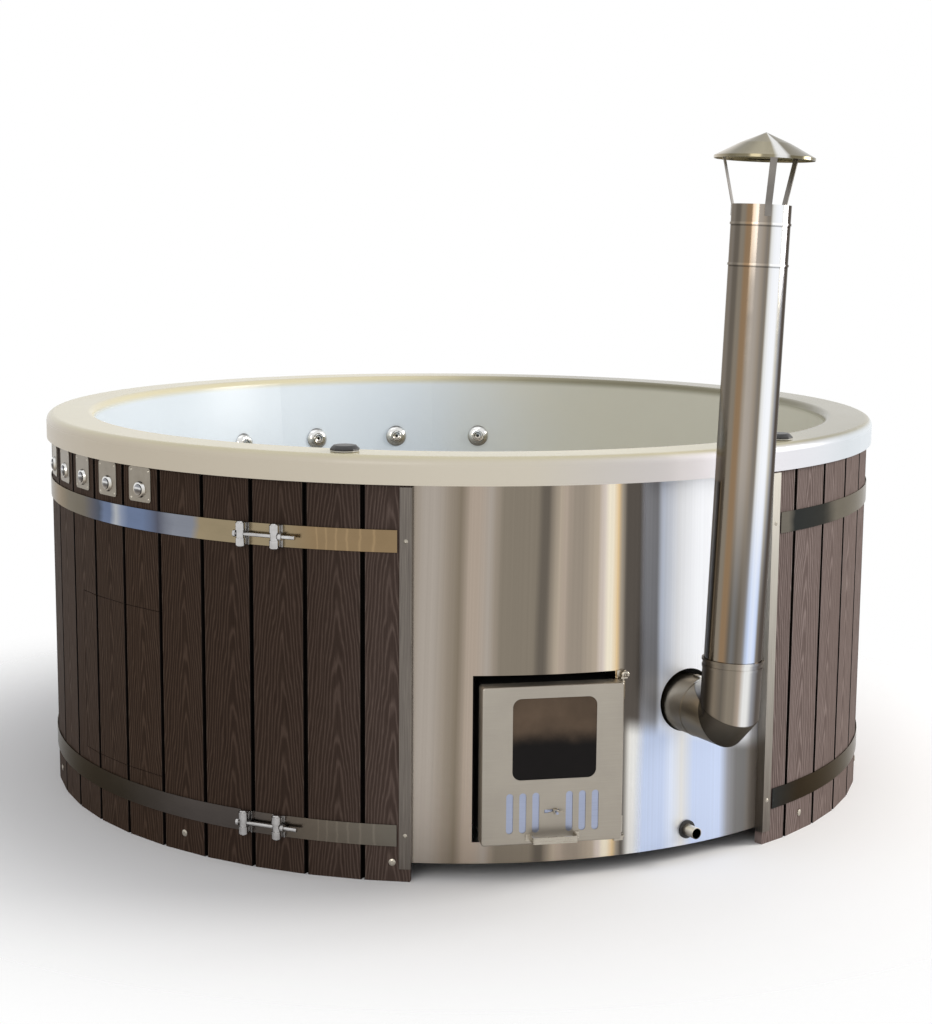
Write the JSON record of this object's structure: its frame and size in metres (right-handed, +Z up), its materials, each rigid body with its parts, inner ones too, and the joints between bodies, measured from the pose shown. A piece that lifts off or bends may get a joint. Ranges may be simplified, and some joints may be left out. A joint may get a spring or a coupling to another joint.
{
  "type": "hot tub",
  "caption": "Round wood-fired hot tub: moulded basin with rolled rim in board cladding, steel straps and stove panel, glazed fire door, leaning flue with rain cap, jets and air controls.",
  "frame": {"origin": "on the tub's axis at the floor, the underside of the middle bearer", "axes": "+Z up, -Y outwards through the middle of the steel stove panel, +X to the right as seen from the stove side"},
  "size_m": [2.2139, 2.4117, 1.6679],
  "materials": {
    "acrylic_white": "gloss",
    "composite_board": "embossed wood grain",
    "stainless_polished": "polished",
    "stainless_satin": "satin",
    "stove_black": "heat-proof matte",
    "grate_iron": "rough",
    "fire_glass": "dark ceramic glass",
    "chrome": "polished",
    "black_plastic": "satin",
    "rubber_black": "matte",
    "rope_seal": "braided",
    "timber": "rough sawn",
    "pipe_plastic": "satin"
  },
  "bodies": {
    "tub": {"tub_shell": "acrylic_white", "cladding_boards": "composite_board", "upper_strap": "stainless_polished", "lower_strap": "stainless_polished", "front_panel": "stainless_polished", "edge_trims": "stainless_polished", "strap_lugs": "stainless_polished", "clamp_bolts": "stainless_polished", "clamp_barrels": "stainless_polished", "chimney_pipe": "stainless_polished", "trim_screws": "stainless_polished", "control_plates": "stainless_polished", "plate_screws": "stainless_polished", "flue_elbow": "stainless_satin", "hinge_rod": "stainless_satin", "hinge_brackets": "stainless_satin", "flue_stub": "stainless_satin", "screw_covers": "stainless_satin", "circulation_pipes": "stainless_satin", "stove_body": "stove_black", "fire_grate": "grate_iron", "jet_bezels": "chrome", "button_housings": "chrome", "pump": "black_plastic", "drain_grommet": "rubber_black", "mouth_seal": "rope_seal", "base_frame": "timber", "hatch_ledges": "timber", "jet_bodies": "pipe_plastic", "water_manifold": "pipe_plastic", "air_manifold": "pipe_plastic", "air_stubs": "pipe_plastic", "air_valves": "pipe_plastic", "pump_pipes": "pipe_plastic", "drain_sump": "pipe_plastic", "drain_pipe": "pipe_plastic"},
    "fire_door": {"door_panel": "stainless_satin", "door_glass": "fire_glass", "glass_retainer": "stainless_satin", "slide_guides": "stainless_satin", "door_handle": "stainless_satin", "door_knuckles": "stainless_satin"},
    "air_slide": {"air_slide": "stainless_satin"},
    "wing_nut": {"wing_nut": "stainless_satin"},
    "service_hatch": {"hatch_boards": "composite_board", "hatch_battens": "timber"},
    "rain_cap": {"cap_collar": "stainless_polished", "cap_legs": "stainless_polished", "cap_cone": "stainless_polished"},
    "left_air_knob": {"air_knob_left": "black_plastic"},
    "right_air_knob": {"air_knob_right": "black_plastic"},
    "button_1": {"push_button_1": "chrome"},
    "button_2": {"push_button_2": "chrome"},
    "button_3": {"push_button_3": "chrome"},
    "button_4": {"push_button_4": "chrome"},
    "button_5": {"push_button_5": "chrome"},
    "nozzle_1": {"jet_nozzle_1": "chrome"},
    "nozzle_2": {"jet_nozzle_2": "chrome"},
    "nozzle_3": {"jet_nozzle_3": "chrome"},
    "nozzle_4": {"jet_nozzle_4": "chrome"}
  },
  "joints": [
    {"name": "door_swing", "type": "hinge", "parent": "tub", "child": "fire_door", "pos_m": [0.0358, -1.08258, 0.274], "axis": [0, 0, 1], "range_deg": [0, 110]},
    {"name": "air_slide_shift", "type": "slide", "parent": "fire_door", "child": "air_slide", "axis": [0.9924, -0.1227, 0], "range_m": [-0.0145, 0]},
    {"name": "wing_nut_turn", "type": "hinge", "parent": "air_slide", "child": "wing_nut", "pos_m": [-0.13005, -1.10539, 0.167], "axis": [-0.1227, -0.9924, 0], "continuous": true},
    {"name": "hatch_pull", "type": "slide", "parent": "tub", "child": "service_hatch", "axis": [-0.9181, -0.3963, 0], "range_m": [0, 0.35]},
    {"name": "cap_lift", "type": "slide", "parent": "tub", "child": "rain_cap", "axis": [0.0411, 0.0082, 0.9991], "range_m": [0, 0.15]},
    {"name": "left_air_turn", "type": "hinge", "parent": "tub", "child": "left_air_knob", "pos_m": [-0.5584, -0.8833, 0.968], "axis": [0, 0, 1], "range_deg": [0, 180]},
    {"name": "right_air_turn", "type": "hinge", "parent": "tub", "child": "right_air_knob", "pos_m": [0.4914, -0.92225, 0.968], "axis": [0, 0, 1], "range_deg": [0, 180]},
    {"name": "button_1_press", "type": "slide", "parent": "tub", "child": "button_1", "axis": [0.8747, 0.4847, 0], "range_m": [0, 0.004], "stiffness_N_per_m": 500},
    {"name": "button_2_press", "type": "slide", "parent": "tub", "child": "button_2", "axis": [0.9274, 0.374, 0], "range_m": [0, 0.004], "stiffness_N_per_m": 500},
    {"name": "button_3_press", "type": "slide", "parent": "tub", "child": "button_3", "axis": [0.9662, 0.2576, 0], "range_m": [0, 0.004], "stiffness_N_per_m": 500},
    {"name": "button_4_press", "type": "slide", "parent": "tub", "child": "button_4", "axis": [0.9905, 0.1374, 0], "range_m": [0, 0.004], "stiffness_N_per_m": 500},
    {"name": "button_5_press", "type": "slide", "parent": "tub", "child": "button_5", "axis": [0.9999, 0.0151, 0], "range_m": [0, 0.004], "stiffness_N_per_m": 500},
    {"name": "nozzle_1_turn", "type": "hinge", "parent": "tub", "child": "nozzle_1", "pos_m": [0.35903, 0.8965, 0.776], "axis": [-0.3699, -0.9237, 0.0999], "range_deg": [-90, 90]},
    {"name": "nozzle_2_turn", "type": "hinge", "parent": "tub", "child": "nozzle_2", "pos_m": [0.10053, 0.96047, 0.776], "axis": [-0.1036, -0.9896, 0.0999], "range_deg": [-90, 90]},
    {"name": "nozzle_3_turn", "type": "hinge", "parent": "tub", "child": "nozzle_3", "pos_m": [-0.16562, 0.95141, 0.776], "axis": [0.1706, -0.9803, 0.0999], "range_deg": [-90, 90]},
    {"name": "nozzle_4_turn", "type": "hinge", "parent": "tub", "child": "nozzle_4", "pos_m": [-0.41917, 0.87, 0.776], "axis": [0.4319, -0.8964, 0.0999], "range_deg": [-90, 90]}
  ]
}
